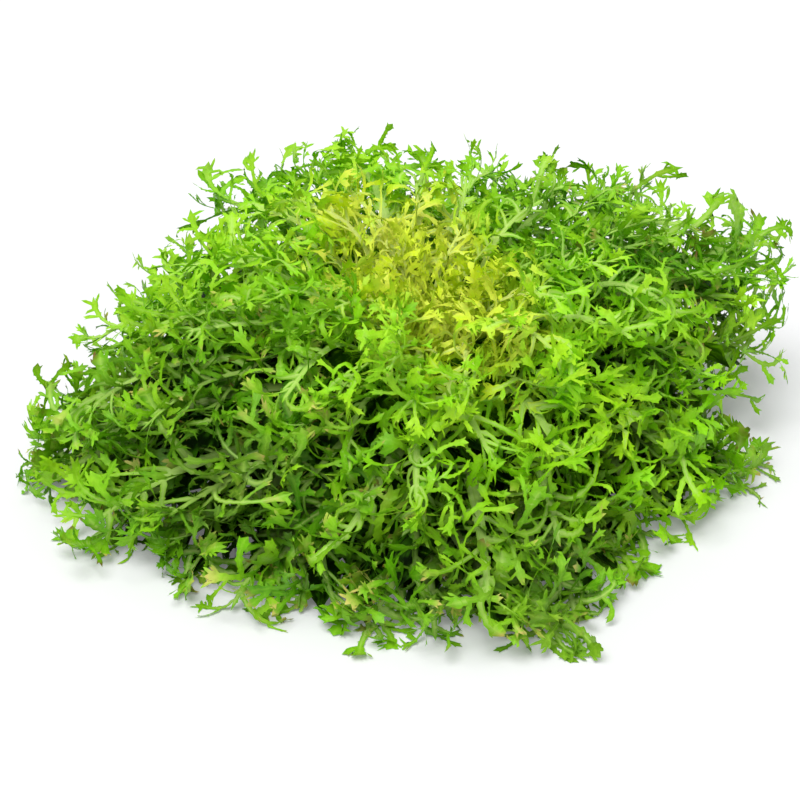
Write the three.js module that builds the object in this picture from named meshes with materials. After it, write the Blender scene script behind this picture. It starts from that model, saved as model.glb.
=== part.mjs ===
// A head of curly endive (frisee) as cut for sale: a short pale crown that stands on its cut face,
// and a rosette of 58 deeply cut leaves in seven whorls, from the wide green leaves that lie round
// the foot to the small yellow leaves of the heart. Every leaf is a closed solid of its own: a thick
// rib that narrows from the foot to the tip, with lobes that point forward from both of its sides.
// Units are millimetres, +Z is up, and the origin is the middle of the head's footprint.
import * as THREE from "three";

const DEGREE = Math.PI / 180;

// Crown.
const CROWN_RADIUS = 24; // of the ball of leaf bases
const CROWN_MIDDLE = 12; // height of that ball's middle over the cut face
const SHOULDER_HEIGHT = 4; // where the bevel round the cut face meets the ball
const CUT_RADIUS = 17; // of the flat cut face

// Leaves.
const FOOT_GAP = 0.5; // between a leaf's foot and the crown
const SIDE_GAP = 1.2; // between neighbours of one whorl
const BLADE_START = 0.32; // share of a leaf's length where its first lobes grow
const PETIOLE_RINGS = 4;
const BLADE_RINGS = 16;
const SINUS_WIDTH = 0.3; // half width between two lobes, as a share of the half width at the lobes
const LOBE_SWEEP = 0.028; // how far forward a lobe's point lies, as a share of the leaf's length
const LAST_POINT = 0.97; // share of the leaf's length that no side lobe's point passes
const TIP_WIDTH = 0.35; // half width of the leaf's end, as a share of the petiole's
const RUFFLE = 2.6; // how far the lobes' points stand above and below the blade
const LOWEST_TIP = 1.4; // height of the middle of a tip that lies on the table

// One row per whorl, outermost first. base: angle of the leaf's foot on the crown above the
// horizon; rise: angle at which the leaf sets out; reach and height: where its tip lies; dip: angle
// at which the tip points down; pull: how stiffly it holds those two directions; petiole and blade:
// half widths; thick: thickness at the foot and in the blade; twist: how far the leaf turns round
// the head on its way out; turn: direction of the whorl's first leaf; layer: 0 at the table and 1
// from the shoulder of the head up.
const WHORLS = [
  { name: "foot_leaf", count: 11, base: 2, rise: 14, reach: 178, height: 1, dip: 22, pull: 60,
    petiole: 4.6, blade: 33, thick: [5.0, 4.8], twist: 7, turn: 350, layer: 0, colour: 0x4d8f1f },
  { name: "skirt_leaf", count: 11, base: 15, rise: 34, reach: 172, height: 30, dip: 32, pull: 60,
    petiole: 4.4, blade: 33, thick: [4.8, 4.8], twist: -6, turn: 21, layer: 0.5, colour: 0x5ea325 },
  { name: "outer_leaf", count: 10, base: 28, rise: 50, reach: 156, height: 64, dip: 36, pull: 60,
    petiole: 4.2, blade: 32, thick: [4.6, 4.6], twist: 6, turn: 11, layer: 1, colour: 0x6db52c },
  { name: "middle_leaf", count: 9, base: 41, rise: 62, reach: 128, height: 98, dip: 26, pull: 58,
    petiole: 3.9, blade: 29, thick: [4.2, 4.4], twist: -5, turn: 30, layer: 1, colour: 0x7cc233 },
  { name: "inner_leaf", count: 8, base: 54, rise: 74, reach: 92, height: 122, dip: 0, pull: 50,
    petiole: 3.4, blade: 23, thick: [3.6, 4.0], twist: 5, turn: 2, layer: 1, colour: 0x93cc3a },
  { name: "heart_leaf", count: 6, base: 67, rise: 84, reach: 46, height: 116, dip: -40, pull: 36,
    petiole: 2.8, blade: 14, thick: [3.0, 3.4], twist: -4, turn: 26, layer: 1, colour: 0xcfdc45 },
  { name: "bud_leaf", count: 3, base: 80, rise: 87, reach: 13, height: 94, dip: -78, pull: 24,
    petiole: 1.9, blade: 5, thick: [2.4, 2.6], twist: 3, turn: 15, layer: 1, colour: 0xdde04f },
];

// The head isn't round. Twelve directions, 30 degrees apart, from +X through +Y: share of the usual
// reach at the table and at the shoulder, and lift of the tips at the shoulder in mm. It spreads
// furthest to -X, where it has slumped, and one tuft stands out between -Y and +X. From LEAN_FROM up
// the head leans, by LEAN at LEAN_TO.
const TABLE_REACH = [0.86, 0.87, 0.84, 0.83, 0.87, 0.98, 1.07, 1.06, 0.9, 0.9, 0.96, 0.76];
const SHOULDER_REACH = [1.18, 1.12, 0.98, 0.94, 1.03, 1.0, 1.06, 1.04, 0.97, 0.94, 0.99, 1.02];
const SHOULDER_LIFT = [16, 12, -5, -4, 17, 6, -8, -12, -12, -10, -2, 8];
const LEAN = [4, -16];
const LEAN_FROM = 42;
const LEAN_TO = 130;

// A repeatable random number from -1 to 1 for each whole number.
function scatter(seed) {
  const wave = Math.sin(seed * 127.1 + 311.7) * 43758.5453;
  return 2 * (wave - Math.floor(wave)) - 1;
}

// Smooth value at an angle, from values at equal steps round the circle.
function roundTheHead(values, angle) {
  const turn = (angle / (2 * Math.PI) + 8) % 1;
  const before = Math.floor(turn * values.length);
  const share = (1 - Math.cos((turn * values.length - before) * Math.PI)) / 2;
  return THREE.MathUtils.lerp(values[before], values[(before + 1) % values.length], share);
}

// The leaf's path in the upright plane through the crown: x is distance from the axis, y is height.
function leafPath(whorl, angle, seed) {
  const along = (slope) => new THREE.Vector2(Math.cos(slope * DEGREE), Math.sin(slope * DEGREE));
  const table = roundTheHead(TABLE_REACH, angle);
  const shoulder = roundTheHead(SHOULDER_REACH, angle);
  const stretch = THREE.MathUtils.lerp(table, shoulder, whorl.layer);
  const lift = roundTheHead(SHOULDER_LIFT, angle) * whorl.layer * Math.min(1, whorl.reach / 150);
  const tip = new THREE.Vector2(
    whorl.reach * stretch * (1 + 0.025 * scatter(seed)),
    Math.max(LOWEST_TIP, whorl.height + lift + 3 * scatter(seed + 50) * whorl.layer),
  );
  const foot = along(whorl.base).multiplyScalar(CROWN_RADIUS + FOOT_GAP + whorl.thick[0] * 0.2);
  foot.y += CROWN_MIDDLE;
  return new THREE.CubicBezierCurve(
    foot,
    foot.clone().addScaledVector(along(whorl.rise), whorl.pull),
    tip.clone().addScaledVector(along(-whorl.dip), -whorl.pull),
    tip,
  );
}

// Half width across the lobes' points at a share of the leaf's length.
function halfWidth(whorl, share) {
  const neck = whorl.petiole * 0.7;
  if (share < BLADE_START) return THREE.MathUtils.lerp(whorl.petiole, neck, share / BLADE_START);
  const across = (share - BLADE_START) / (1 - BLADE_START);
  return neck + (whorl.blade - neck) * Math.pow(Math.sin(Math.PI * Math.pow(across, 0.8)), 0.6);
}

// One leaf: rings of four points (left margin, rib above, right margin, rib below), foot to tip.
// Lobes grow from the left margin at every odd ring of the blade and from the right at every even.
function leafGeometry(whorl, angle, seed) {
  const path = leafPath(whorl, angle, seed);
  const points = [];

  // A point at a share of the leaf's length, so far to the side and so far above the path.
  const addPoint = (share, aside, above) => {
    const middle = path.getPointAt(share);
    const ahead = path.getTangentAt(share);
    const distance = middle.x - ahead.y * above;
    const sector = (Math.PI / whorl.count) * middle.x - SIDE_GAP / 2;
    const swing = THREE.MathUtils.clamp(aside, -sector, sector) / middle.x;
    const heading = angle + whorl.twist * DEGREE * share * share + swing;
    const height = middle.y + ahead.x * above;
    const lean = Math.pow(Math.max(0, height - LEAN_FROM) / (LEAN_TO - LEAN_FROM), 1.5);
    const x = distance * Math.cos(heading) + LEAN[0] * lean;
    const y = distance * Math.sin(heading) + LEAN[1] * lean;
    points.push(x, y, height);
  };

  const addMargin = (share, side, isLobe, lobeNumber) => {
    const tip = isLobe ? Math.min(LAST_POINT, share + LOBE_SWEEP) : share;
    const trim = 0.86 + 0.14 * scatter(seed * 31 + lobeNumber * 2 + side);
    const width = isLobe ? halfWidth(whorl, tip) * trim : halfWidth(whorl, share) * SINUS_WIDTH;
    const ruffle = isLobe ? RUFFLE * (lobeNumber % 4 < 2 ? 1 : -1) * Math.min(1, width / 12) : 0;
    addPoint(tip, side * Math.max(width, whorl.petiole * 0.55 * (1 - 0.6 * share)), ruffle);
  };

  const addRing = (share, lobeNumber) => {
    const isTip = lobeNumber === BLADE_RINGS - 1;
    const hasLobe = lobeNumber > 0 && !isTip;
    const plainWidth = isTip ? whorl.petiole * TIP_WIDTH : halfWidth(whorl, share);
    const thick = THREE.MathUtils.lerp(whorl.thick[0], whorl.thick[1], Math.min(1, share * 2));
    const half = (thick / 2) * (1 - 0.55 * share * share);
    if (hasLobe) addMargin(share, -1, lobeNumber % 2 === 1, lobeNumber);
    else addPoint(share, -plainWidth, 0);
    addPoint(share, 0, half);
    if (hasLobe) addMargin(share, 1, lobeNumber % 2 === 0, lobeNumber);
    else addPoint(share, plainWidth, 0);
    addPoint(share, 0, -half);
  };

  for (let i = 0; i < PETIOLE_RINGS; i++) addRing((i / PETIOLE_RINGS) * BLADE_START, 0);
  for (let i = 0; i < BLADE_RINGS; i++) {
    addRing(BLADE_START + (i / (BLADE_RINGS - 1)) * (1 - BLADE_START), i);
  }
  return skinOfRings(points);
}

// A closed skin over rings of four points each.
function skinOfRings(points) {
  const ringCount = points.length / 12;
  const faces = [0, 1, 2, 0, 2, 3];
  for (let ring = 0; ring + 1 < ringCount; ring++) {
    for (let side = 0; side < 4; side++) {
      const a = ring * 4 + side;
      const b = ring * 4 + ((side + 1) % 4);
      faces.push(a, a + 4, b, b, a + 4, b + 4);
    }
  }
  const last = (ringCount - 1) * 4;
  faces.push(last, last + 2, last + 1, last, last + 3, last + 2);
  const geometry = new THREE.BufferGeometry();
  geometry.setAttribute("position", new THREE.Float32BufferAttribute(points, 3));
  geometry.setIndex(faces);
  geometry.computeVertexNormals();
  return geometry;
}

// The crown: a flat cut face, a bevel round it, and the ball that the leaves grow from.
function crownGeometry() {
  const outline = [new THREE.Vector2(0, 0), new THREE.Vector2(CUT_RADIUS, 0)];
  const ballSteps = 7;
  const lowest = -Math.asin((CROWN_MIDDLE - SHOULDER_HEIGHT) / CROWN_RADIUS);
  for (let i = 0; i < ballSteps; i++) {
    const climb = THREE.MathUtils.lerp(lowest, Math.PI / 2, i / ballSteps);
    const height = CROWN_MIDDLE + CROWN_RADIUS * Math.sin(climb);
    outline.push(new THREE.Vector2(CROWN_RADIUS * Math.cos(climb), height));
  }
  outline.push(new THREE.Vector2(0, CROWN_MIDDLE + CROWN_RADIUS));
  return new THREE.LatheGeometry(outline, 20).rotateX(Math.PI / 2);
}

function finish(colour, roughness) {
  return new THREE.MeshStandardMaterial({ color: colour, roughness, metalness: 0 });
}

const head = new THREE.Group();
const crown = new THREE.Mesh(crownGeometry(), finish(0xe6e2bd, 0.6));
crown.name = "crown";
head.add(crown);

WHORLS.forEach((whorl, row) => {
  for (let i = 0; i < whorl.count; i++) {
    const angle = (whorl.turn + (360 / whorl.count) * i) * DEGREE;
    const leaf = new THREE.Mesh(leafGeometry(whorl, angle, row * 20 + i), finish(whorl.colour, 0.5));
    leaf.name = `${whorl.name}_${String(i + 1).padStart(2, "0")}`;
    head.add(leaf);
  }
});

// The origin is the middle of the footprint, so the group is slid until its box is centred.
const centre = new THREE.Box3().setFromObject(head).getCenter(new THREE.Vector3());
head.position.set(-centre.x, -centre.y, 0);

export default head;
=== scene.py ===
"""Looks of the curly endive head: finely cut leaves in place of the plain CAD ones, and the studio.

Every CAD leaf is replaced by a leaf that follows the same course from the crown. It is grown as one
closed skin: a rib, strands that branch from the rib, and strands that branch from those. Strands end
in a hand of short fingers and bear small spines. More leaves of the same kind, the fillers, stand
between them, and plain ragged blades, the backing, close the gaps deep in the head; their dark
streaked colour is painted shade. Values kept on each mesh (rib, tip, side, heart, age and how much
painted shade a point takes) tell the material what to paint where. Strands deep and low in the head
are darkened as painted shade, and in some places leaves are coloured younger and lighter or older
and darker as painted light and shade. Lengths are in millimetres and angles in degrees unless a
name says otherwise.
"""

import math
import random

import bpy
import numpy as np
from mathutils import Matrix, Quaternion, Vector


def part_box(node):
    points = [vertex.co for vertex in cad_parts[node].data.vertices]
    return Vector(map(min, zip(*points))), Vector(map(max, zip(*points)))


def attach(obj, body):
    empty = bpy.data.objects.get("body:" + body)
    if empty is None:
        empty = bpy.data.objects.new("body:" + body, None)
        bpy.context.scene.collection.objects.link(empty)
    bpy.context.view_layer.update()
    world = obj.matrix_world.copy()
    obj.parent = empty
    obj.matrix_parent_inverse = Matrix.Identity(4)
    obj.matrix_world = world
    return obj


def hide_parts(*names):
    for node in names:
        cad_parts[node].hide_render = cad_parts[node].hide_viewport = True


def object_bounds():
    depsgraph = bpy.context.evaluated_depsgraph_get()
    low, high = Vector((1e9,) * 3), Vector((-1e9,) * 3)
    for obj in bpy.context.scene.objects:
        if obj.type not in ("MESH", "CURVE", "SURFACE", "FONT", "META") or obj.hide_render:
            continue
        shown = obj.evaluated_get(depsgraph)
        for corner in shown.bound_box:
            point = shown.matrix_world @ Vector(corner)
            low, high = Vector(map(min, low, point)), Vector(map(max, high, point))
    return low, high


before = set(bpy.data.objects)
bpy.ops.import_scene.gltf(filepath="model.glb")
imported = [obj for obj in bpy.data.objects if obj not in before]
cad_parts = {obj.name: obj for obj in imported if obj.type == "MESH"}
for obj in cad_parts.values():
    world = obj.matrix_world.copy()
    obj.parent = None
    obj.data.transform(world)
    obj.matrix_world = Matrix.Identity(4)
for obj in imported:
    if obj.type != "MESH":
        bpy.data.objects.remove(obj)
cad_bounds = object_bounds()

MM = 0.001  # a millimetre in metres

# The head. Strands may pass the CAD head by up to SPARE along x, y and z. They are squeezed in from
# EDGE_MARGIN before that limit, and from TABLE_MARGIN above TABLE_CLEARANCE, the lowest height.
HEAD_LOW, HEAD_HIGH = ([value / MM for value in corner] for corner in cad_bounds)
SPARE, EDGE_MARGIN = (17.0, 16.0, 12.0), 12
TABLE_CLEARANCE, TABLE_MARGIN = 0.25, 3

# The crown: its axis, and the height of its ball's middle.
CROWN_LOW, CROWN_HIGH = (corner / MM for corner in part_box("crown"))
CROWN_AXIS = (CROWN_LOW + CROWN_HIGH) / 2
CROWN_BALL_HEIGHT = 12.0
NARROWEST_WRAP = 16.0  # a leaf bends round the head as if it were at least this far from the axis

# A leaf's rib ends at this share of the CAD leaf's reach, by the heading of its tip, and its strands
# pass its end. This gives the head the outline that the photo shows.
TIP_SHARE = {
    4: 1.14, 15: 1.08, 27: 0.86, 60: 0.96, 75: 1.04, 90: 1.0, 105: 1.08, 120: 0.99, 132: 0.88,
    145: 0.86, 160: 0.93, 172: 1.01, 188: 1.02, 205: 1.05, 218: 1.0, 230: 0.78, 243: 0.72,
    254: 1.05, 266: 0.74, 283: 1.17, 300: 0.75, 312: 0.73, 325: 0.87, 342: 0.83, 352: 1.0,
}

# The blanched heart is long. It follows a line between two points, given from the crown's axis at the
# table. Leaves are yellow up to HEART_INNER from the line and green past HEART_OUTER.
HEART_BACK, HEART_FRONT = np.array([-20.0, 33.0, 105.0]), np.array([15.0, -40.0, 98.0])
HEART_INNER, HEART_OUTER = 14.0, 63.0

# Painted light and shade: places where leaves are coloured younger and lighter or older and darker
# than their whorl, as light and shade fall. Each gives a centre from the crown's axis at the table,
# the radius up to which they wholly are, the radius past which they aren't, and the change in age.
PAINTED_LIGHT_AND_SHADE = [
    ((-58.0, 36.0, 96.0), 30, 84, -0.5),
    ((42.0, -76.0, 76.0), 20, 70, -0.6),
    ((-90.0, -56.0, 64.0), 30, 80, 0.38),
    ((130.0, -84.0, 36.0), 25, 75, -0.6),
    ((88.0, 28.0, 92.0), 30, 76, 0.8),
    ((160.0, 6.0, 56.0), 20, 60, -0.35),
]
BACKING_AGE = 3.0  # marks a backing blade for the material

# Painted shade: leaf points deep in the head and low down are coloured darker, standing in for the
# shade between the strands. Depth inside the head is found on a grid of SECTORS round it and BANDS up
# it, seen from a point on the crown's axis at DEPTH_CENTRE_HEIGHT. The head's surface lies at the
# distance within which SURFACE_PERCENT of a cell's points are, and DEEP below it a point is wholly
# inside. That painted shade shows fully up to SHADY_HEIGHT above the same point, and not at all from
# BRIGHT_HEIGHT above it.
SECTORS, BANDS, SURFACE_PERCENT = 24, 6, 93
DEPTH_CENTRE_HEIGHT, DEEP = 10.0, 34.0
SHADY_HEIGHT, BRIGHT_HEIGHT = 36.0, 86.0

# Seeds. A whorl's begin WHORL_SEEDS after the last whorl's, and a row of its fillers' FILLER_SEEDS
# after the last row's. The fillers of THIN_PLACES and the backing blades count theirs from THIN_SEED
# and BACKING_SEED. A leaf's shape is drawn from its seed, and its sway, its age, its yellow and a
# filler's place from its seed plus SWAY, AGE, HEART and PLACE.
WHORL_SEEDS, FILLER_SEEDS, THIN_SEED, BACKING_SEED = 100, 20, 6000, 4000
SWAY, AGE, HEART, PLACE = 5000, 7000, 8000, 900

# How much leaves differ by chance. AGE_CHANCE: in age. HEART_CHANCE: in how yellow they are.
# ROLL_CHANCE: in their roll at the tip. SWAY_CHANCE: in their sway to the side, in lengths. Then the
# height of a leaf's waves aside and up, in lengths, the fewest and most radians of wave in it, and
# the radians at which a wave may start.
AGE_CHANCE, HEART_CHANCE, ROLL_CHANCE, SWAY_CHANCE = 0.18, 0.14, 26, 0.07
WAVE_ASIDE, WAVE_UP, WAVES_ASIDE, WAVES_UP, WAVE_START = 0.018, 0.014, (5, 8), (7, 10), (0, 6)

# How each whorl's leaves grow, outermost first. rise, dip and pull shape the course between foot and
# tip as in the CAD. petiole and rib: widths at the foot and where the blade starts. bare: share of
# the leaf's length without strands. lobe: longest strand from the rib. curl: how strongly strands
# curl. age: 1 for the oldest, darkest leaves.
WHORLS = {
    "foot_leaf": dict(
        count=11, rise=14, dip=22, pull=60, petiole=9.5, rib=6.6, bare=0.56, lobe=40, curl=62, age=1.0),
    "skirt_leaf": dict(
        count=11, rise=34, dip=32, pull=60, petiole=9.5, rib=6.6, bare=0.54, lobe=42, curl=78, age=0.8),
    "outer_leaf": dict(
        count=10, rise=50, dip=36, pull=60, petiole=9, rib=6.4, bare=0.5, lobe=42, curl=95, age=0.6),
    "middle_leaf": dict(
        count=9, rise=62, dip=26, pull=58, petiole=8, rib=5.6, bare=0.45, lobe=38, curl=108, age=0.42),
    "inner_leaf": dict(
        count=8, rise=74, dip=0, pull=50, petiole=7, rib=4.0, bare=0.38, lobe=30, curl=125, age=0.25),
    "heart_leaf": dict(
        count=6, rise=84, dip=-40, pull=36, petiole=5.5, rib=3.0, bare=0.34, lobe=20, curl=130, age=0.1),
    "bud_leaf": dict(
        count=3, rise=87, dip=-78, pull=24, petiole=3.6, rib=2.0, bare=0.4, lobe=12, curl=130, age=0.0),
}

# Fillers between the leaves of a whorl: share of the way to the next leaf, reach in the leaves'
# reach, and lift. They differ by chance by up to FILLER_TURN in that share, by a factor of
# FILLER_REACH in reach and by up to FILLER_LIFT in lift. None has its tip below LOWEST_FILLER.
FILLERS = {
    "foot_leaf": [(0.33, 0.98, 3), (0.66, 0.94, 2), (0.0, 0.9, 8), (0.5, 0.86, 10), (0.8, 0.97, 6)],
    "skirt_leaf": [(0.5, 1.0, 8), (0.25, 0.97, -14), (0.75, 0.95, -8)],
    "outer_leaf": [(0.5, 0.97, 8), (0.0, 0.99, -14)],
    "middle_leaf": [(0.5, 0.97, 8), (0.1, 0.99, -12)],
    "inner_leaf": [(0.5, 0.95, 2), (0.0, 1.0, -10), (0.5, 1.14, -20)],
    "heart_leaf": [(0.5, 0.85, 0), (0.2, 0.55, -2)],
    "bud_leaf": [(0.25, 1.3, 4), (0.75, 2.0, 2), (0.5, 2.6, 0), (0.0, 1.0, 6)],
}
FILLER_TURN, FILLER_REACH, FILLER_LIFT, LOWEST_FILLER = 0.12, (0.95, 1.05), 4, 2.0

# Fillers over thin places: kind, and the tip's distance from the crown's axis, heading and height.
THIN_PLACES = [
    ("skirt_leaf", 128, 205, 46), ("outer_leaf", 122, 214, 58), ("outer_leaf", 160, 14, 66),
    ("outer_leaf", 124, 334, 70), ("middle_leaf", 152, 6, 80), ("middle_leaf", 118, 344, 80),
    ("middle_leaf", 122, 321, 66), ("middle_leaf", 104, 292, 84),
]

# Backing blades under a whorl, dark sheets whose colour is painted shade where the gaps show only shade:
# their tips' share of its leaves' reach, and how far below them they are. There are BACKING_EACH for
# each leaf. Every second ring is notched to BACKING_NOTCH of its width. BACKING_CHANCE and
# BACKING_REACH are factors by chance, of a ring's width and of a blade's reach.
BACKING = {
    "foot_leaf": (0.95, 0), "skirt_leaf": (0.9, 12), "outer_leaf": (0.87, 16),
    "middle_leaf": (0.7, 26), "inner_leaf": (0.78, 44),
}
BACKING_EACH, BACKING_RINGS, BACKING_WIDTH = 3, 24, 38.0
BACKING_NOTCH, BACKING_CHANCE, BACKING_REACH = 0.6, (0.85, 1.15), (0.94, 1.06)
LOWEST_BACKING = 4.0


def shortest_turn(one, other):
    """The turn from one heading to another, the short way round, in radians."""
    return (other - one + math.pi) % (2 * math.pi) - math.pi


def slope(degrees):
    """The direction (outward, up) at an angle above level."""
    angle = math.radians(degrees)
    return np.array([math.cos(angle), math.sin(angle)])


class Course:
    """A leaf's way out from the crown: a cubic curve in an upright plane that turns round the head.

    foot and tip are (distance from the crown's axis, heading in radians, height).
    """

    SAMPLES = 80

    def __init__(self, foot, tip, whorl):
        self.headings = foot[1], tip[1]
        start, end = np.array([foot[0], foot[2]]), np.array([tip[0], tip[2]])
        leaving = start + whorl["pull"] * slope(whorl["rise"])
        arriving = end - whorl["pull"] * slope(-whorl["dip"])
        t = np.linspace(0, 1, self.SAMPLES)[:, None]
        self.curve = (
            (1 - t) ** 3 * start + 3 * t * (1 - t) ** 2 * leaving
            + 3 * t**2 * (1 - t) * arriving + t**3 * end
        )
        steps = np.linalg.norm(np.diff(self.curve, axis=0), axis=1)
        self.along = np.concatenate([[0], np.cumsum(steps)])
        self.length = self.along[-1]
        ahead = np.gradient(self.curve, self.along, axis=0)
        self.ahead = ahead / np.linalg.norm(ahead, axis=1)[:, None]

    def bend(self, points):
        """Points of the straight leaf (x to its right, y along it, z above it) on its course."""
        x, y, z = points.T
        on = np.clip(y, 0, self.length)
        middle = [np.interp(on, self.along, self.curve[:, i]) for i in (0, 1)]
        ahead = [np.interp(on, self.along, self.ahead[:, i]) for i in (0, 1)]
        distance = middle[0] + ahead[0] * (y - on) - ahead[1] * z
        height = middle[1] + ahead[1] * (y - on) + ahead[0] * z
        turn = shortest_turn(*self.headings) * (on / self.length) ** 2
        heading = self.headings[0] + turn - x / np.maximum(middle[0], NARROWEST_WRAP)
        return np.stack([distance * np.cos(heading), distance * np.sin(heading), height], 1)


class Skin:
    """The closed skin of one leaf while it grows, from rings of points across it.

    A ring is (left margin, top, right margin, bottom). Strands are flat below, so theirs have no
    bottom. Each point keeps how far it has the colours of a rib and of a strand's tip, and its side,
    from -1 on a left margin to 1 on a right one.
    """

    def __init__(self):
        self.points, self.rib, self.tip, self.side = [], [], [], []
        self.faces, self.margins = [], []

    def point(self, place, rib, tip=0.0, side=0.0):
        """Adds a point and returns its number."""
        self.points.append(tuple(place))
        self.rib.append(rib)
        self.tip.append(tip)
        self.side.append(side)
        return len(self.points) - 1

    def ring(self, walk, width, thick, rib, tip=0.0, channel=0.05, below=0.0):
        """A ring at a walk's place. rib: for (middle, margins). below: depth of a round bottom.

        channel: how far the margins stand up, in widths.
        """
        aside = walk.ahead.cross(walk.up) * (width / 2)
        lift = walk.up * (channel * width)
        return (
            self.point(walk.place - aside + lift, rib[1], tip, -1.0),
            self.point(walk.place + walk.up * (thick / 2), rib[0], tip),
            self.point(walk.place + aside + lift, rib[1], tip, 1.0),
            self.point(walk.place - walk.up * below, rib[0], tip) if below else None,
        )

    def middle(self, a, b):
        """The place half way between two points."""
        return (Vector(self.points[a]) + Vector(self.points[b])) / 2

    def segment(self, a, b, left=None, right=None):
        """Joins two rings. left and right are openings over their margins, or None."""
        if left is None:
            self.faces.append((a[0], a[1], b[1], b[0]))
            self.margins.append((a[0], b[0]))
        else:
            self.faces += [(a[0], a[1], left), (left, a[1], b[1], b[0])]
        if right is None:
            self.faces.append((a[1], a[2], b[2], b[1]))
            self.margins.append((a[2], b[2]))
        else:
            self.faces += [(a[1], a[2], right), (a[1], right, b[2], b[1])]
        if a[3] is None:
            self.faces.append((a[2], a[0], b[0], b[2]))
        else:
            self.faces += [(a[2], a[3], b[3], b[2]), (a[3], a[0], b[0], b[3])]

    def close_foot(self, ring):
        """Closes the skin across its first ring."""
        self.faces.append((ring[0], ring[3], ring[2], ring[1]))

    def close_tip(self, ring, place, tip=1.0):
        """Closes the skin from a last ring to a point at its end."""
        apex = self.point(place, 0.0, tip)
        corners = [corner for corner in ring if corner is not None]
        self.faces += [(corners[i - 1], corners[i], apex) for i in range(len(corners))]
        self.margins += [(ring[0], apex), (ring[2], apex)]


# Strands by level: 1 grows from the rib, 2 from a level 1 strand. between: distance from one fork to
# the next. fork: length of margin that a fork takes up. width and thick: of the bare strand. bare:
# share of its length before the first fork. last: from the last ring to the end. hand: the end's
# rings, as step ahead, width in strand widths, and what grows there.
STRANDS = {
    1: dict(
        between=6.0, fork=1.9, width=2.3, thick=0.9, bare=0.26, last=2.6,
        hand=[(2.4, 1.3, ""), (1.7, 2.0, "fingers"), (1.5, 1.8, ""), (1.6, 1.0, "fingers")]),
    2: dict(
        between=4.2, fork=1.5, width=1.7, thick=0.6, bare=0.24, last=2.5,
        hand=[(2.0, 1.6, ""), (1.6, 1.3, "fingers")]),
}
SPINE_LEVEL = 3
# A strand's first step, the most between two rings, and the length of margin that a spine takes up.
FLARE_STEP, LONGEST_STEP, SPINE_STEP = 2.0, 5.5, 1.2
# A strand's rings in strand widths: its foot, where it is bare, at its first spines, before, at and
# after the other spines, and at a fork.
WIDE = dict(foot=1.3, bare=0.92, first=1.0, before=0.8, spines=0.95, after=0.85, fork=1.4)
# Strands differ by chance in width and reach, and spines and fingers in length: lowest and highest
# factor.
WIDTH_CHANCE, REACH_CHANCE, SPINE_CHANCE = (0.6, 1.2), (0.7, 1.2), (0.65, 1.3)
# Some strands are broad, and stay pale for longer. Share of the strands, their width in usual widths,
# and how fast a strand's pale middle fades towards its end (usual, broad).
BROAD_SHARE, BROAD_WIDTH, PALE_FADE = 0.2, 1.5, (0.8, 0.3)
THINNING, MARGIN_RIB = 0.45, 0.3  # thickness lost towards the end, and the margins' share of rib colour
# How strands curl, bend and twist, in degrees per mm for each degree of curl: mean and spread. WANDER
# is the spread by which the rates of curl and bend change at each step.
CURL, BEND, TWIST, WANDER = (0.012, 0.038), (0.0, 0.034), (0.0, 0.022), 0.6
FOLD_CHANCE = 24  # by how much a strand is turned about its own length by chance
# Share of places for fingers or spines that bear one.
FINGER_OFTEN, SPINE_OFTEN, RIB_SPINE_OFTEN = 0.9, 0.6, 0.5
# Lengths of fingers with a waist. A spine or a finger without one has only the part past the waist.
FINGER_LENGTH, SPINE_LENGTH, RIB_SPINE_LENGTH = 4.6, 2.3, 2.4
# The angle between a spine and its strand, and a finger's at the strand's foot and less at its end.
SPINE_SPREAD, FINGER_SPREAD, FINGER_SPREAD_LESS = 55, 66, 34
# The waist, a ring that the fingers of level 1 strands have and spines don't: its share of the way
# along the finger, its breadth in the breadth of the finger's foot, its share of the thickness, how
# far it has a tip's colours, and the spread of the finger's bend, in degrees per mm.
WAIST_AT, WAIST_BREADTH, WAIST_THICK, WAIST_TIP, WAIST_BEND = 0.62, 0.74, 0.7, 0.6, 11
# Strands that fork from a level 1 strand: length in its lengths at its foot and less at its end, the
# shortest, spread from it, and shares of its rib colour and thickness.
FORK_REACH, FORK_REACH_LESS, SHORTEST_FORK, FORK_SPREAD = 0.62, 0.36, 6.0, (34, 62)
FORK_RIB, FORK_THICK = 0.6, 0.7


def turned(vector, axis, degrees):
    """A vector turned about an axis."""
    return Quaternion(axis, math.radians(degrees)) @ vector


class Walk:
    """A place and its directions, which move ahead on a smooth random curve."""

    def __init__(self, rng, place, ahead, up, curl):
        self.rng, self.place, self.ahead, self.up = rng, place.copy(), ahead, up
        self.curl = rng.gauss(*CURL) * curl
        self.bend = rng.gauss(*BEND) * curl
        self.twist = rng.gauss(*TWIST) * curl

    def step(self, distance):
        """Moves ahead by a distance, and turns as it goes."""
        self.curl += self.rng.gauss(0, WANDER)
        self.bend += self.rng.gauss(0, WANDER)
        self.ahead = turned(self.ahead, self.up, self.bend * distance)
        across = self.ahead.cross(self.up)
        self.ahead = turned(self.ahead, across, self.curl * distance)
        self.up = turned(self.up, across, self.curl * distance)
        self.up = turned(self.up, self.ahead, self.twist * distance)
        self.place = self.place + self.ahead * distance


def straight_walk(rng):
    """A walk along a straight leaf's y."""
    return Walk(rng, Vector((0, 0, 0)), Vector((0, 1, 0)), Vector((0, 0, 1)), 0)


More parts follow.
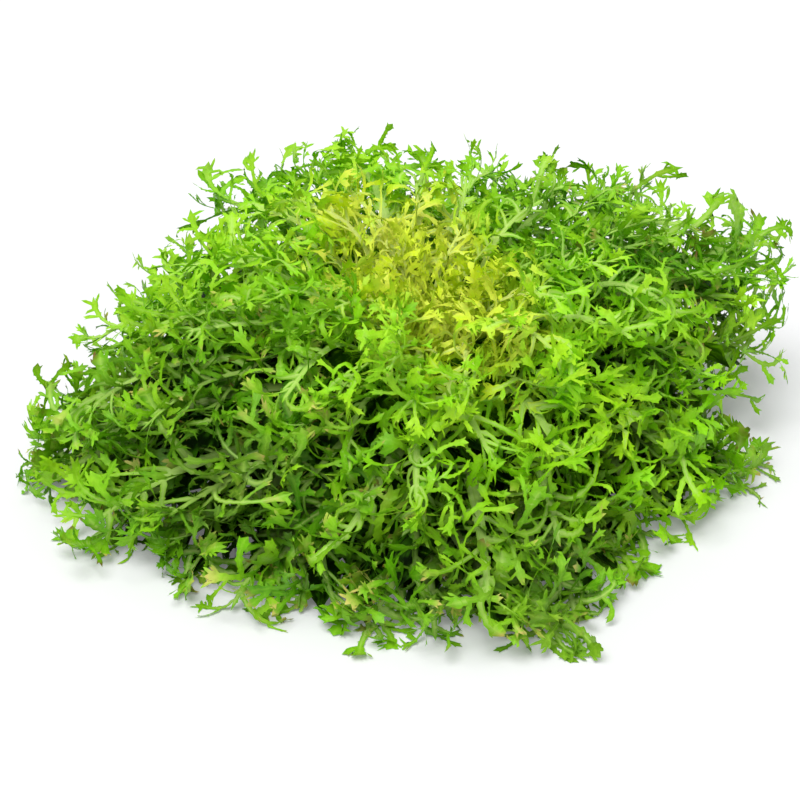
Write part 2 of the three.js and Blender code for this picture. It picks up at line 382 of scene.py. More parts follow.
def grow_side(skin, rng, a, b, side, walk, make):
    """Opens the margin between rings a and b on a side (-1 left, 1 right) and grows a child there.

    Returns the opening: a point above that margin.
    """
    near, far = (a[0], b[0]) if side < 0 else (a[2], b[2])
    start = skin.middle(near, far)
    top = skin.point(start + walk.up * (make["thick"] / 2), make["rib"])
    ring = (near, top, far, None) if side < 0 else (far, top, near, None)
    fold = rng.gauss(make["fold"], FOLD_CHANCE)
    out = turned(turned(walk.ahead, walk.up, -side * make["spread"]), walk.ahead, -side * fold)
    child = Walk(rng, start, out, turned(walk.up, walk.ahead, -side * fold), make["curl"])
    if make["level"] < SPINE_LEVEL:
        grow_strand(skin, rng, ring, child, make)
        return top
    if make["waist"]:
        child.bend = rng.gauss(0, WAIST_BEND)
        child.step(WAIST_AT * make["length"])
        breadth = WAIST_BREADTH * (Vector(skin.points[near]) - Vector(skin.points[far])).length
        waist = skin.ring(child, breadth, WAIST_THICK * make["thick"], (make["rib"], 0.0), WAIST_TIP)
        skin.segment(ring, waist)
        ring = waist
    child.step((1 - WAIST_AT) * make["length"])
    skin.close_tip(ring, child.place)
    return top


def spine(rng, length, spread=SPINE_SPREAD, waist=False):
    """What grow_side needs for a small spine, or for a finger with a waist."""
    length *= rng.uniform(*SPINE_CHANCE)
    return dict(
        level=SPINE_LEVEL, length=length, spread=spread, waist=waist, fold=0, curl=60, thick=0.4,
        rib=0.05,
    )


def fork(rng, make, share, rib, thick):
    """What grow_side needs for a strand that forks from another at a share of its length."""
    reach = make["length"] * (FORK_REACH - FORK_REACH_LESS * share) * rng.uniform(*REACH_CHANCE)
    return dict(
        level=2, length=max(SHORTEST_FORK * make["fine"], reach), fine=make["fine"], broad=make["broad"],
        fold=0, rib=rib * FORK_RIB, spread=rng.uniform(*FORK_SPREAD), curl=make["curl"],
        thick=thick * FORK_THICK,
    )


def strand_stations(level, length, fine):
    """A strand's rings from foot to end: step ahead, width in strand widths, and what grows there."""
    spine_step = SPINE_STEP * fine
    hand = [(step * fine, width, kind) for step, width, kind in level["hand"]]
    body = max(0.0, length - (FLARE_STEP + level["last"]) * fine - sum(step for step, _, _ in hand))
    pair = (level["between"] + level["fork"]) * fine
    forks = round(body * (1 - level["bare"]) / pair)
    bare = body - forks * pair
    stations = [(FLARE_STEP * fine, WIDE["foot"], "")]
    if bare > 2 * spine_step:
        pieces = math.ceil((bare - spine_step) / LONGEST_STEP)
        stations += [((bare - spine_step) / pieces, WIDE["bare"], "")] * pieces
        stations.append((spine_step, WIDE["first"], "spines"))
    half = (level["between"] * fine - spine_step) / 2
    stations += [
        (half, WIDE["before"], ""), (spine_step, WIDE["spines"], "spines"),
        (half, WIDE["after"], ""), (level["fork"] * fine, WIDE["fork"], "fork"),
    ] * forks
    return stations + hand


def grow_strand(skin, rng, ring, walk, make):
    """Grows a strand from a ring: bare at first, then forking, and ending in a hand of fingers."""
    level, fine = STRANDS[make["level"]], make["fine"]
    width = level["width"] * fine * make["broad"] * rng.uniform(*WIDTH_CHANCE)
    is_broad = rng.random() < BROAD_SHARE
    if is_broad:
        width *= BROAD_WIDTH
    stations = strand_stations(level, make["length"], fine)
    before, branch, gone = ring, rng.choice((-1, 1)), 0.0
    for step, wide, kind in stations:
        walk.step(step)
        gone += step
        share = min(1.0, gone / make["length"])
        rib = make["rib"] * (1 - share) ** PALE_FADE[is_broad]
        thick = level["thick"] * (1 - THINNING * share)
        tip = max(0.0, share - 0.5)  # a tip's colours begin half way along
        after = skin.ring(walk, width * wide, thick, (rib, rib * MARGIN_RIB), tip)
        openings = {-1: None, 1: None}
        for way in (-1, 1) if kind else ():
            child = None
            if kind == "fingers" and rng.random() < FINGER_OFTEN:
                spread = FINGER_SPREAD - FINGER_SPREAD_LESS * share
                child = spine(rng, FINGER_LENGTH * fine, spread, make["level"] == 1)
            elif kind == "fork" and way == branch and make["level"] == 1:
                child = fork(rng, make, share, rib, thick)
            elif kind in ("fork", "spines") and rng.random() < SPINE_OFTEN:
                child = spine(rng, SPINE_LENGTH * fine)
            if child:
                openings[way] = grow_side(skin, rng, before, after, way, walk, child)
        if kind == "fork":
            branch = -branch
        skin.segment(before, after, openings[-1], openings[1])
        before = after
    walk.step(level["last"] * fine)
    skin.close_tip(before, walk.place)


# A leaf's rib. Its rings are a long and a short step apart by turns, and strands and spines grow at
# the short ones. On the blade the steps get shorter towards the tip, by less.
LONG_STEP, SHORT_STEP = dict(petiole=8.5, blade=3.7, less=1.2), dict(petiole=1.6, blade=2.7, less=0.9)
RIB_END = 2.0  # from the leaf's length to the rib's end
RIB_TAPER = 0.66  # share of the rib's width that it loses along the blade
# Thickness: at the tip, how much more near the foot, and the power by which it falls between them.
RIB_THIN, RIB_THICKER, RIB_THINNING = 1.1, 3.1, 1.6
FOOT_THICK, FOOT_DEPTH = 4.2, 2.4  # at the foot: thickness, and depth of the round bottom
RIB_DEPTH = 0.6  # elsewhere: depth of the round bottom, in thicknesses
RIB_CHANNEL, PETIOLE_CHANNEL = 0.08, 0.04  # how far the margins stand up, and more near the foot
SECOND_OFTEN = 0.12  # how often a strand grows on the other side as well
SHORTEST_LOBE = 9.0
LOBE_SPREAD, LOBE_SPREAD_LESS, LOBE_SPREAD_CHANCE = 64, 28, 8  # at the blade's foot, less at its tip
LOBE_FOLD = 0.25  # how far a strand from the rib is turned about its own length, in its curl


def lobe(rng, whorl, across, fine, broad):
    """What grow_side needs for a strand from the rib, at a share of the way along the blade."""
    swell = 0.45 + 0.55 * math.sin(math.pi * min(1.0, across**0.8)) ** 0.7  # longest in mid blade
    reach = max(SHORTEST_LOBE, whorl["lobe"] * swell * rng.uniform(*REACH_CHANCE))
    spread = rng.gauss(LOBE_SPREAD - LOBE_SPREAD_LESS * across, LOBE_SPREAD_CHANCE)
    return dict(
        level=1, length=reach, fine=fine, broad=broad, spread=spread, thick=1.0, rib=0.8,
        fold=whorl["curl"] * LOBE_FOLD, curl=whorl["curl"],
    )


def grow_leaf(seed, length, whorl):
    """A whole leaf on its straight course: its rib along y, and strands from both sides."""
    rng = random.Random(seed)
    skin = Skin()
    fine = 0.7 + 0.3 * whorl["age"] ** 0.5  # young leaves are finer in everything
    broad = 1.0 + 0.3 * whorl["age"] ** 2  # old leaves have broader strands
    blade_from = whorl["bare"] * length
    walk = straight_walk(rng)
    before = skin.ring(
        walk, whorl["petiole"], FOOT_THICK * fine, rib=(1.0, 0.9), channel=0.1, below=FOOT_DEPTH * fine)
    skin.close_foot(before)
    y, branch, is_long = 0.0, 1, True
    while True:
        in_blade = y >= blade_from
        across = max(0.0, (y - blade_from) / (length - blade_from))
        step = LONG_STEP if is_long else SHORT_STEP
        y += (step["blade"] - step["less"] * across if in_blade else step["petiole"]) * fine
        if y >= length:
            skin.close_tip(before, Vector((0, length + RIB_END * fine, 0)))
            return skin
        petiole = max(0.0, 1 - y / blade_from)
        width = whorl["rib"] * (1 - RIB_TAPER * across) + (whorl["petiole"] - whorl["rib"]) * petiole
        thick = (RIB_THIN + RIB_THICKER * (1 - y / length) ** RIB_THINNING) * fine
        rib = (0.95 - 0.35 * across, 0.55 + 0.35 * petiole - 0.25 * across)  # palest at the foot
        walk.place = Vector((0, y, 0))
        channel = RIB_CHANNEL + PETIOLE_CHANNEL * petiole
        after = skin.ring(walk, width, thick, rib, channel=channel, below=thick * RIB_DEPTH)
        openings = {-1: None, 1: None}
        if not is_long:
            for way in (-1, 1):
                child = None
                if in_blade and (way == branch or rng.random() < SECOND_OFTEN):
                    child = lobe(rng, whorl, across, fine, broad)
                elif rng.random() < RIB_SPINE_OFTEN:
                    child = spine(rng, RIB_SPINE_LENGTH * fine)
                if child:
                    openings[way] = grow_side(skin, rng, before, after, way, walk, child)
            branch = -branch
        skin.segment(before, after, openings[-1], openings[1])
        before, is_long = after, not is_long


def grow_backing(seed, length):
    """A backing blade on its straight course, with a ragged margin."""
    rng = random.Random(seed)
    skin = Skin()
    walk = straight_walk(rng)
    before = None
    for i in range(BACKING_RINGS):
        share = i / BACKING_RINGS
        swell = (0.15 + 0.85 * share) * min(1.0, 4 * (1 - share)) ** 0.6  # broadest near the tip
        width = BACKING_WIDTH * swell * rng.uniform(*BACKING_CHANCE) * (BACKING_NOTCH if i % 2 else 1.0)
        walk.place = Vector((0, share * length, 0))
        ring = skin.ring(walk, width, 1.0, rib=(0.4, 0.0), channel=0.08, below=0.6)
        if before:
            skin.segment(before, ring)
        else:
            skin.close_foot(ring)
        before = ring
    skin.close_tip(before, Vector((0, length, 0)), 0.0)
    return skin


def settle(points, seed, length):
    """The leaf's own roll about its rib, sway to the side and waviness, on its straight course."""
    rng = random.Random(seed + SWAY)
    x, y, z = points.T.copy()
    share = np.clip(y / length, 0, 1.2)
    roll = math.radians(rng.gauss(0, ROLL_CHANCE)) * share**1.5
    x, z = x * np.cos(roll) + z * np.sin(roll), z * np.cos(roll) - x * np.sin(roll)
    x += rng.gauss(0, SWAY_CHANCE) * length * share**2
    aside = np.sin(share * rng.uniform(*WAVES_ASIDE) + rng.uniform(*WAVE_START))
    x += WAVE_ASIDE * length * aside * share
    up = np.sin(share * rng.uniform(*WAVES_UP) + rng.uniform(*WAVE_START))
    z += WAVE_UP * length * up * share
    return np.stack([x, y, z], 1)


def leaf_age_and_painted_light(points, seed, age):
    """Each point's age: the whorl's, changed by chance for the whole leaf, and in places by painted
    light and shade.
    """
    ages = np.full(len(points), age + random.Random(seed + AGE).gauss(0, AGE_CHANCE))
    for centre, inner, outer, change in PAINTED_LIGHT_AND_SHADE if age < BACKING_AGE else ():
        away = np.linalg.norm(points - np.array(centre), axis=1)
        ages += change * np.clip((outer - away) / (outer - inner), 0, 1)
    return np.clip(ages, 0, BACKING_AGE)


def leaf_heart(points, seed):
    """How far each point has the heart's yellow, which also differs by chance from leaf to leaf."""
    line = HEART_FRONT - HEART_BACK
    along = np.clip((points - HEART_BACK) @ line / (line @ line), 0, 1)
    gap = np.linalg.norm(points - HEART_BACK - along[:, None] * line, axis=1)
    heart = (HEART_OUTER - gap) / (HEART_OUTER - HEART_INNER)
    return np.clip(heart + random.Random(seed + HEART).gauss(0, HEART_CHANCE) * (heart > 0), 0, 1)


def held(values, limit, margin, way):
    """Squeezes values within a margin of a limit, so that none passes it. way: 1 upper, -1 lower."""
    past = way * (values - limit) + margin
    return np.where(past > 0, limit - way * margin * np.exp(-np.maximum(past, 0) / margin), values)


def mark_margins(mesh, margins):
    """Makes the thin margins sharp, so that the two faces of a blade don't shade into each other."""
    count = len(mesh.vertices)
    ends = np.empty(len(mesh.edges) * 2, np.int64)
    mesh.edges.foreach_get("vertices", ends)
    ends = np.sort(ends.reshape(-1, 2), axis=1)
    sharp = np.sort(np.array(margins, np.int64), axis=1)
    marked = np.isin(ends[:, 0] * count + ends[:, 1], sharp[:, 0] * count + sharp[:, 1])
    mesh.attributes.new("sharp_edge", "BOOLEAN", "EDGE").data.foreach_set("value", marked)


def set_values(mesh, label, values):
    """Keeps one value for each point on a mesh, for the material."""
    attribute = mesh.attributes.new(label, "FLOAT", "POINT")
    attribute.data.foreach_set("value", np.asarray(values, np.float32))


def mesh_points(mesh):
    """A mesh's points, in millimetres."""
    flat = np.empty(len(mesh.vertices) * 3, np.float32)
    mesh.vertices.foreach_get("co", flat)
    return flat.reshape(-1, 3) / MM


def add_leaf(name, kind, material, seed, foot, tip, whorl):
    """Makes one leaf or backing blade as a Blender object, in metres, where it stands."""
    course = Course(foot, tip, whorl)
    if whorl["age"] < BACKING_AGE:
        skin = grow_leaf(seed, course.length, whorl)
    else:
        skin = grow_backing(seed, course.length)
    points = course.bend(settle(np.array(skin.points), seed, course.length))
    age, heart = leaf_age_and_painted_light(points, seed, whorl["age"]), leaf_heart(points, seed)
    points += [CROWN_AXIS.x, CROWN_AXIS.y, 0]
    for axis, spare in enumerate(SPARE):
        points[:, axis] = held(points[:, axis], HEAD_HIGH[axis] + spare, EDGE_MARGIN, 1)
        if axis < 2:
            points[:, axis] = held(points[:, axis], HEAD_LOW[axis] - spare, EDGE_MARGIN, -1)
    points[:, 2] = held(points[:, 2], TABLE_CLEARANCE, TABLE_MARGIN, -1)
    mesh = bpy.data.meshes.new(name)
    mesh.from_pydata((points * MM).tolist(), [], skin.faces)
    mesh.shade_smooth()
    mark_margins(mesh, skin.margins)
    values = {"rib": skin.rib, "tip": skin.tip, "side": skin.side, "heart": heart, "age": age}
    for label, column in values.items():
        set_values(mesh, label, column)
    mesh.materials.append(material)
    piece = bpy.data.objects.new(name, mesh)
    bpy.context.scene.collection.objects.link(piece)
    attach(piece, "root")
    return piece


def cad_leaf_ends(node):
    """A CAD leaf's foot and tip: its four points nearest to the crown's ball and its four farthest."""
    points = np.unique(mesh_points(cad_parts[node].data).round(2), axis=0)
    points = points - [CROWN_AXIS.x, CROWN_AXIS.y, 0]
    order = np.argsort(np.linalg.norm(points - [0, 0, CROWN_BALL_HEIGHT], axis=1))
    ends = []
    for four in (order[:4], order[-4:]):
        x, y, z = points[four].mean(axis=0)
        ends.append((math.hypot(x, y), math.atan2(y, x), z))
    return ends


def tip_share(heading):
    """TIP_SHARE at any heading, here in radians."""
    return float(np.interp(math.degrees(heading), list(TIP_SHARE), list(TIP_SHARE.values()), period=360))


def between(one, other, share=0.5):
    """A place between two (distance, heading, height) places, the short way round the head."""
    return (
        one[0] + (other[0] - one[0]) * share,
        one[1] + shortest_turn(one[1], other[1]) * share,
        one[2] + (other[2] - one[2]) * share,
    )


def make_own_leaves(kind, row, material):
    """The leaves that stand for a whorl's CAD leaves. Returns their feet and tips."""
    ends = []
    for i in range(WHORLS[kind]["count"]):
        node = f"{kind}_{i + 1:02d}"
        foot, tip = cad_leaf_ends(node)
        ends.append((foot, (tip[0] * tip_share(tip[1]), tip[1], tip[2])))
        piece = add_leaf(f"{node}_fine", kind, material, WHORL_SEEDS * row + i, *ends[-1], WHORLS[kind])
        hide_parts(node)
    return ends


def make_fillers(kind, row, material, ends, whorl, made):
    """Fillers between a whorl's leaves and over its thin places. Returns how many there are by now."""
    for number, (share, reach, lift) in enumerate(FILLERS[kind]):
        for i, (foot, tip) in enumerate(ends):
            made += 1
            seed = WHORL_SEEDS * row + FILLER_SEEDS * (number + 1) + i
            rng = random.Random(seed + PLACE)
            next_foot, next_tip = ends[(i + 1) % len(ends)]
            middle = between(tip, next_tip, share + rng.uniform(-FILLER_TURN, FILLER_TURN))
            height = max(LOWEST_FILLER, middle[2] + lift + rng.uniform(-FILLER_LIFT, FILLER_LIFT))
            place = (middle[0] * reach * rng.uniform(*FILLER_REACH), middle[1], height)
            start = between(foot, next_foot)
            add_leaf(f"filler_leaf_{made:03d}", kind, material, seed, start, place, whorl)
    for thin_kind, distance, heading, height in THIN_PLACES:
        if thin_kind == kind:
            made += 1
            place = (distance, math.radians(heading), height)
            start, _ = min(ends, key=lambda pair: abs(shortest_turn(pair[1][1], place[1])))
            seed = THIN_SEED + made
            add_leaf(f"filler_leaf_{made:03d}", kind, material, seed, start, place, whorl)
    return made


def make_backing(kind, material, ends, made):
    """Backing blades under a whorl. Returns how many there are by now."""
    reach, drop = BACKING[kind]
    whorl = dict(WHORLS[kind], age=BACKING_AGE)
    for i in range(BACKING_EACH * len(ends)):
        seed = BACKING_SEED + made + i
        rng = random.Random(seed)
        leaf, share = i // BACKING_EACH, i % BACKING_EACH / BACKING_EACH
        here, after = ends[leaf], ends[(leaf + 1) % len(ends)]
        foot, tip = between(here[0], after[0], share), between(here[1], after[1], share)
        tip = (tip[0] * reach * rng.uniform(*BACKING_REACH), tip[1], max(LOWEST_BACKING, tip[2] - drop))
        add_leaf(f"backing_leaf_{made + i + 1:03d}", kind, material, seed, foot, tip, whorl)
    return made + BACKING_EACH * len(ends)


def make_leaves():
    """All leaves, from the outermost whorl in. Fillers are half like the next whorl's leaves."""
    material = leaf_material("endive_leaf", LEAF_GLOSS)
    # The backing blades' material: dark, streaked painted shade.
    dull = leaf_material("endive_painted_shade_blade", DEEP_GLOSS)
    kinds = list(WHORLS)
    fillers, backings = 0, 0
    for row, kind in enumerate(kinds):
        own, inner = WHORLS[kind], WHORLS[kinds[min(row + 1, len(kinds) - 1)]]
        mixed = {key: (own[key] + inner[key]) / 2 for key in own}
        ends = make_own_leaves(kind, row, material)
        fillers = make_fillers(kind, row, material, ends, mixed, fillers)
        if kind in BACKING:
            backings = make_backing(kind, dull, ends, backings)


def mark_painted_shade():
    """Gives each leaf point how much painted shade it takes, from 0 to 1, by how deep in the head and
    how low it is. Backing counts as all deep, so its painted shade goes by height alone.
    """
    meshes = [piece for piece in bpy.data.objects if piece.type == "MESH"]
    leaves = [piece for piece in meshes if piece.data.attributes.get("rib")]
    centre = [CROWN_AXIS.x, CROWN_AXIS.y, DEPTH_CENTRE_HEIGHT]
    parts = [mesh_points(piece.data) - centre for piece in leaves]
    points = np.concatenate(parts)
    radius = np.linalg.norm(points, axis=1)
    turn = np.arctan2(points[:, 1], points[:, 0]) / (2 * math.pi) % 1
    sector = (turn * SECTORS).astype(int) % SECTORS
    band = np.clip((points[:, 2] / radius * BANDS).astype(int), 0, BANDS - 1)
    cell = sector * BANDS + band
    surface = np.zeros(SECTORS * BANDS)
    for index in range(SECTORS * BANDS):
        within = radius[cell == index]
        surface[index] = np.percentile(within, SURFACE_PERCENT) if len(within) else 0.0
    painted_shade = np.clip((surface[cell] - radius) / DEEP, 0, 1)
    shade = np.clip((BRIGHT_HEIGHT - points[:, 2]) / (BRIGHT_HEIGHT - SHADY_HEIGHT), 0, 1)
    start = 0
    for piece, part in zip(leaves, parts):
        own = shade[start:start + len(part)].astype(np.float32)
        if not piece.name.startswith("backing"):
            own *= painted_shade[start:start + len(part)].astype(np.float32)
        set_values(piece.data, "painted_shade", own)
        start += len(part)


def srgb(red, green, blue):
    """An sRGB colour of 0 to 255 as the linear RGBA that a shader takes."""
    shares = [value / 255 for value in (red, green, blue)]
    linear = [share / 12.92 if share <= 0.04 else ((share + 0.055) / 1.055) ** 2.4 for share in shares]
    return (*linear, 1.0)


class Nodes:
    """A short way to write a node tree."""

    def __init__(self, tree):
        self.tree = tree
        tree.nodes.clear()

    def add(self, kind, settings=None, **inputs):
        """A node. inputs are named by socket, with _ for a space, or by number, as _0."""
        node = self.tree.nodes.new(kind)
        for key, value in (settings or {}).items():
            setattr(node, key, value)
        for key, value in inputs.items():
            socket = node.inputs[int(key[1:])] if key[0] == "_" else node.inputs[key.replace("_", " ")]
            if isinstance(value, bpy.types.NodeSocket):
                self.tree.links.new(value, socket)
            else:
                socket.default_value = value
        return node

    def where(self):
        """The place in the object, in metres."""
        return self.add("ShaderNodeTexCoord").outputs["Object"]

    def value(self, name):
        """A value kept on the mesh."""
        return self.add("ShaderNodeAttribute", dict(attribute_name=name)).outputs["Fac"]

    def math(self, operation, a, b=0.0):
        return self.add("ShaderNodeMath", dict(operation=operation), _0=a, _1=b).outputs[0]

    def times(self, a, b):
        return self.math("MULTIPLY", a, b)

    def mix(self, share, a, b):
        """Mixes two colours, each a socket or sRGB."""
        a, b = (srgb(*colour) if isinstance(colour, tuple) else colour for colour in (a, b))
        return self.add("ShaderNodeMix", dict(data_type="RGBA"), _0=share, _6=a, _7=b).outputs[2]

    def noise(self, scale, detail, where):
        inputs = dict(Scale=scale, Detail=detail, Roughness=0.55, Vector=where)
        return self.add("ShaderNodeTexNoise", None, **inputs).outputs["Fac"]

    def spread(self, share, low, high):
        """Maps low..high to 0..1, smoothly."""
        node = self.add("ShaderNodeMapRange", dict(interpolation_type="SMOOTHSTEP"))
        self.tree.links.new(share, node.inputs[0])
        node.inputs[1].default_value, node.inputs[2].default_value = low, high
        return node.outputs[0]


# Leaf colours, in sRGB from 0 to 255. Where there are two, the leaf varies between them in patches.
YOUNG = (164, 238, 10), (199, 250, 38)
OLD = (86, 171, 4), (125, 201, 19)
MOTTLE, OLIVE = (64, 138, 5), (103, 134, 45)
BLANCHED = (232, 250, 21), (250, 250, 106)
# Ribs: pale as real ribs are, and paler still as painted highlight.
RIB, BLANCHED_RIB, RIB_STREAK = (206, 237, 130), (250, 250, 160), (158, 206, 64)
# The second colour is a pale line down each strand's middle: partly a pale vein, partly painted
# highlight.
VEIN, PALE_MIDLINE_AND_HIGHLIGHT = (210, 242, 90), (192, 242, 73)
DRY = (129, 101, 45), (225, 214, 114)
# Painted shade: the deep green that strands deep and low in the head are darkened towards.
PAINTED_DEPTH_SHADE = (29, 73, 2)
# Backing blades' painted shade: a shaded copy and a lit copy, each a pair that the streaks mix.
DEEP_SHADY, DEEP_LIT = ((11, 29, 2), (69, 129, 12)), ((49, 99, 5), (149, 208, 16))
THROUGH = (208, 250, 34)
# Sizes of patches and grain, as noise scales per metre.
BROAD_SCALE, FINE_SCALE, GRAIN_SCALE = 38.0, 420.0, 1500.0
BLANCH_SCALE, OLIVE_SCALE, DRY_SCALE, DEEP_SCALE = 62.0, 16.0, 60.0, 150.0
VEINS_ACROSS, VEINS_ALONG = 3.2, 24.0  # how fast veins change from side to side, and along per metre
LEAF_GLOSS, DEEP_GLOSS = 0.29, 0.04  # specular level of leaves and of backing blades


def leaf_material(name, gloss):
    """The blades' and ribs' material, from what each point's mesh values say."""
    material = bpy.data.materials.new(name)
    material.use_nodes = True
    n = Nodes(material.node_tree)
    where = n.where()
    rib, tip, heart, age, side = (n.value(label) for label in ("rib", "tip", "heart", "age", "side"))
    broad, fine = n.noise(BROAD_SCALE, 3.0, where), n.noise(FINE_SCALE, 4.0, where)

    # Green blade: fresh to deep by age, with broad and fine patches. In some places age also carries
    # painted light and shade.
    patches = n.spread(broad, 0.35, 0.65)
    blade = n.mix(n.times(age, 0.76), n.mix(patches, *YOUNG), n.mix(patches, *OLD))
    blade = n.mix(n.times(n.spread(fine, 0.3, 0.75), 0.25), blade, MOTTLE)

    # Blanched heart, with an uneven edge.
    uneven = n.times(n.math("SUBTRACT", n.noise(BLANCH_SCALE, 2.0, where), 0.5), 1.5)
    blanched = n.spread(n.math("ADD", heart, uneven), 0.15, 0.85)
    blade = n.mix(blanched, blade, n.mix(n.spread(broad, 0.3, 0.7), *BLANCHED))

    # Olive patches on the oldest leaves.
    olive = n.times(n.spread(n.noise(OLIVE_SCALE, 2.0, where), 0.5, 0.66), n.spread(age, 0.6, 1.0))
    blade = n.mix(n.times(olive, 0.6), blade, OLIVE)

    # Ribs, pale as real ribs are and paler still as painted highlight, veins along them and along the
    # blades, and a pale line down each strand's middle that is partly a vein and partly painted
    # highlight.
    across = n.add("ShaderNodeCombineXYZ", None, X=n.times(side, VEINS_ACROSS)).outputs[0]
    slow = n.add("ShaderNodeVectorMath", dict(operation="SCALE"), _0=where, Scale=VEINS_ALONG).outputs[0]
    veins = n.noise(1.5, 2.0, n.add("ShaderNodeVectorMath", None, _0=across, _1=slow).outputs[0])
    rib_colour = n.mix(n.spread(heart, 0.2, 0.9), RIB, BLANCHED_RIB)
    rib_colour = n.mix(n.times(n.spread(veins, 0.42, 0.62), 0.5), rib_colour, RIB_STREAK)
    colour = n.mix(n.spread(rib, 0.2, 0.74), blade, rib_colour)
    colour = n.mix(n.times(n.spread(veins, 0.55, 0.75), 0.24), colour, VEIN)
    middle = n.spread(n.math("ABSOLUTE", side), 0.45, 0.0)
    colour = n.mix(n.times(middle, 0.22), colour, PALE_MIDLINE_AND_HIGHLIGHT)

    # Dry tips on old leaves.
    dry = n.times(n.spread(tip, 0.1, 0.6), n.spread(age, 0.35, 0.8))
    dry = n.times(dry, n.spread(n.noise(DRY_SCALE, 2.0, where), 0.5, 0.64))
    colour = n.mix(dry, colour, n.mix(n.spread(broad, 0.42, 0.58), *DRY))

    # Painted shade: strands deep and low in the head, outside the heart, are darkened towards a deep
    # green.
    painted_shade = n.times(n.value("painted_shade"), n.math("SUBTRACT", 1.0, n.spread(heart, 0.0, 0.5)))
    colour = n.mix(n.times(n.math("POWER", painted_shade, 1.3), 0.66), colour, PAINTED_DEPTH_SHADE)

    # Backing blades: painted shade, streaked like a mass of strands in shade, with a lit and a shaded
    # copy mixed by the painted shade value. The very oldest spots take a little of it too.
    streaks = n.times(n.spread(n.noise(DEEP_SCALE, 3.0, where), 0.4, 0.62), n.spread(veins, 0.4, 0.58))
    lit, shady = n.mix(streaks, *DEEP_LIT), n.mix(n.times(streaks, 0.8), *DEEP_SHADY)
    deep = n.mix(n.spread(painted_shade, 0.2, 0.9), lit, shady)
    colour = n.mix(n.spread(age, 1.5, 2.0), colour, deep)

    # Surface: fine bumps and veins, uneven gloss, and light that comes through the blade.
    height = n.math("ADD", n.times(fine, 0.6), n.noise(GRAIN_SCALE, 2.0, where))
    height = n.math("ADD", height, n.times(veins, 1.5))
    bump = n.add("ShaderNodeBump", None, Strength=0.35, Distance=0.0004, Height=height).outputs[0]
    rough = n.math("ADD", 0.3, n.times(fine, 0.26))
    surface = n.add(
        "ShaderNodeBsdfPrincipled", None, Base_Color=colour, Roughness=rough, Normal=bump,
        Specular_IOR_Level=gloss,
    ).outputs[0]
    glow = n.mix(0.5, colour, THROUGH)
    through = n.add("ShaderNodeBsdfTranslucent", None, Color=glow, Normal=bump).outputs[0]
    blend = n.add("ShaderNodeMixShader", None, _0=0.22, _1=surface, _2=through).outputs[0]
    n.add("ShaderNodeOutputMaterial", None, Surface=blend)
    return material


# Crown colours, in sRGB: creamy and greenish white flesh, and brown specks.
FLESH, SPECKS = ((236, 232, 196), (214, 214, 150)), (170, 140, 84)
FLESH_SCALE, SPECK_SCALE = 60.0, 700.0


def crown_material():
    """The crown's creamy flesh, with specks."""
    material = bpy.data.materials.new("endive_crown")
    material.use_nodes = True
    n = Nodes(material.node_tree)
    where = n.where()
    broad, fine = n.noise(FLESH_SCALE, 4.0, where), n.noise(SPECK_SCALE, 4.0, where)
    colour = n.mix(n.spread(broad, 0.3, 0.7), *FLESH)
    colour = n.mix(n.times(n.spread(fine, 0.55, 0.75), 0.5), colour, SPECKS)
    height = n.math("ADD", broad, fine)
    bump = n.add("ShaderNodeBump", None, Strength=0.5, Distance=0.0008, Height=height).outputs[0]
    rough = n.math("ADD", 0.45, n.times(fine, 0.25))
    surface = n.add("ShaderNodeBsdfPrincipled", None, Base_Color=colour, Roughness=rough, Normal=bump)
    n.add("ShaderNodeOutputMaterial", None, Surface=surface.outputs[0])
    return material


# Studio. A white card lying flat gets about 1.2 times the light that white needs, 0.8 from the lamp and
# the rest from the world. The floor's own glow shows in the picture and in gloss, and lights nothing.
SUN, SUN_SIZE, SUN_FROM = 2.7, 40, (-0.2, -0.35, 1.0)  # lamp: strength, size, and where it stands
SKY, WHITE = 0.42, (1, 1, 1, 1)  # world: strength of its light, and colour
FLOOR_SIZE, FLOOR, FLOOR_GLOW = 12, (228, 228, 230), 0.12  # floor: metres, sRGB, strength of its glow
# Camera: height above level, share of the frame's width that the CAD head fills, lens in millimetres,
# and aim in metres.
ELEVATION, FILL, LENS, AIM = 33, 0.905, 100, (-0.005, 0, 0.034)


def seen_background(n):
    """1 for the rays in which the background is seen: straight, in gloss and through a blade."""
    path = n.add("ShaderNodeLightPath")
    seen = n.math("MAXIMUM", path.outputs["Is Camera Ray"], path.outputs["Is Glossy Ray"])
    return n.math("MAXIMUM", seen, path.outputs["Is Transmission Ray"])


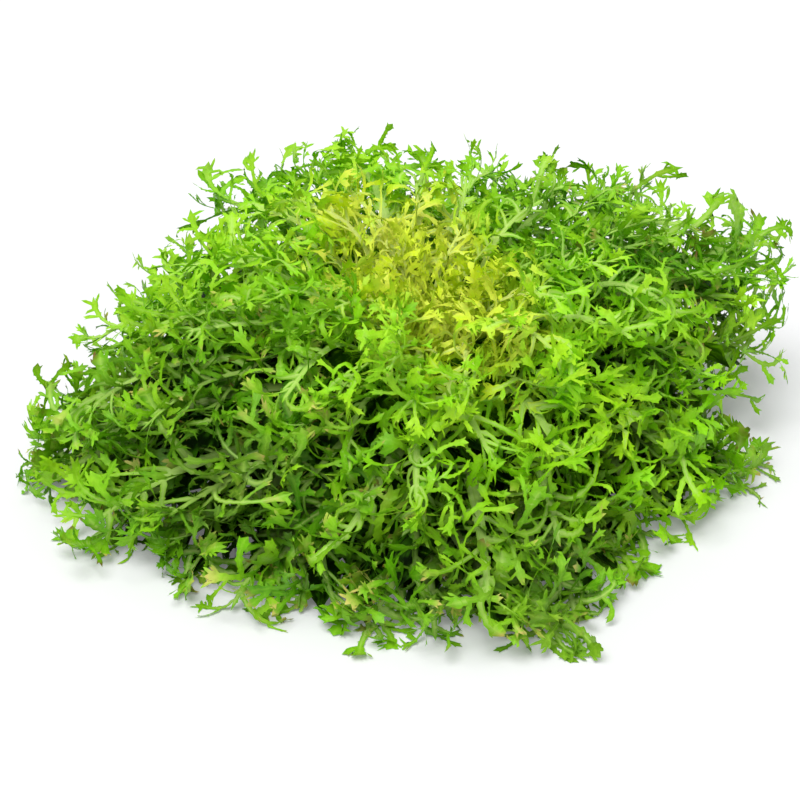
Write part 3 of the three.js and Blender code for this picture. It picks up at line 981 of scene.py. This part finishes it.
def make_floor():
    """A pale floor that keeps the shadow."""
    bpy.ops.mesh.primitive_plane_add(size=FLOOR_SIZE, location=(0, 0, 0))
    floor = bpy.context.object
    floor.name = "floor"
    material = bpy.data.materials.new("studio_floor")
    material.use_nodes = True
    n = Nodes(material.node_tree)
    diffuse = n.add("ShaderNodeBsdfDiffuse", None, Color=srgb(*FLOOR)).outputs[0]
    glow = n.add("ShaderNodeEmission", None, Strength=n.times(seen_background(n), FLOOR_GLOW)).outputs[0]
    both = n.add("ShaderNodeAddShader", None, _0=diffuse, _1=glow).outputs[0]
    n.add("ShaderNodeOutputMaterial", None, Surface=both)
    floor.data.materials.append(material)


def make_world():
    """A dim even sky that looks white."""
    world = bpy.data.worlds.new("studio")
    bpy.context.scene.world = world
    world.use_nodes = True
    n = Nodes(world.node_tree)
    dim = n.add("ShaderNodeBackground", None, Color=WHITE, Strength=SKY).outputs[0]
    white = n.add("ShaderNodeBackground", None, Color=WHITE, Strength=1.0).outputs[0]
    sky = n.add("ShaderNodeMixShader", None, _0=seen_background(n), _1=dim, _2=white).outputs[0]
    n.add("ShaderNodeOutputWorld", None, Surface=sky)


def make_lamp():
    """One large soft lamp, above and a little to the front left."""
    lamp = bpy.data.lights.new("softbox", "SUN")
    lamp.energy, lamp.angle = SUN, math.radians(SUN_SIZE)
    key = bpy.data.objects.new("softbox", lamp)
    key.rotation_euler = Vector(SUN_FROM).to_track_quat("Z", "Y").to_euler()
    bpy.context.scene.collection.objects.link(key)


def make_camera():
    """Looks from the front, down on the head, which fills most of the frame's width."""
    low, high = cad_bounds
    data = bpy.data.cameras.new("camera")
    data.lens = LENS
    camera = bpy.data.objects.new("camera", data)
    distance = (high[0] - low[0]) / FILL / 2 / (data.sensor_width / 2 / LENS)
    target, elevation = Vector(AIM), math.radians(ELEVATION)
    camera.location = target + distance * Vector((0, -math.cos(elevation), math.sin(elevation)))
    camera.rotation_euler = (target - camera.location).to_track_quat("-Z", "Y").to_euler()
    bpy.context.scene.collection.objects.link(camera)
    bpy.context.scene.camera = camera


make_leaves()
mark_painted_shade()
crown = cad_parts["crown"]
crown.data.materials.clear()
crown.data.materials.append(crown_material())
bpy.context.scene.view_settings.view_transform = "Standard"
make_floor()
make_world()
make_lamp()
make_camera()
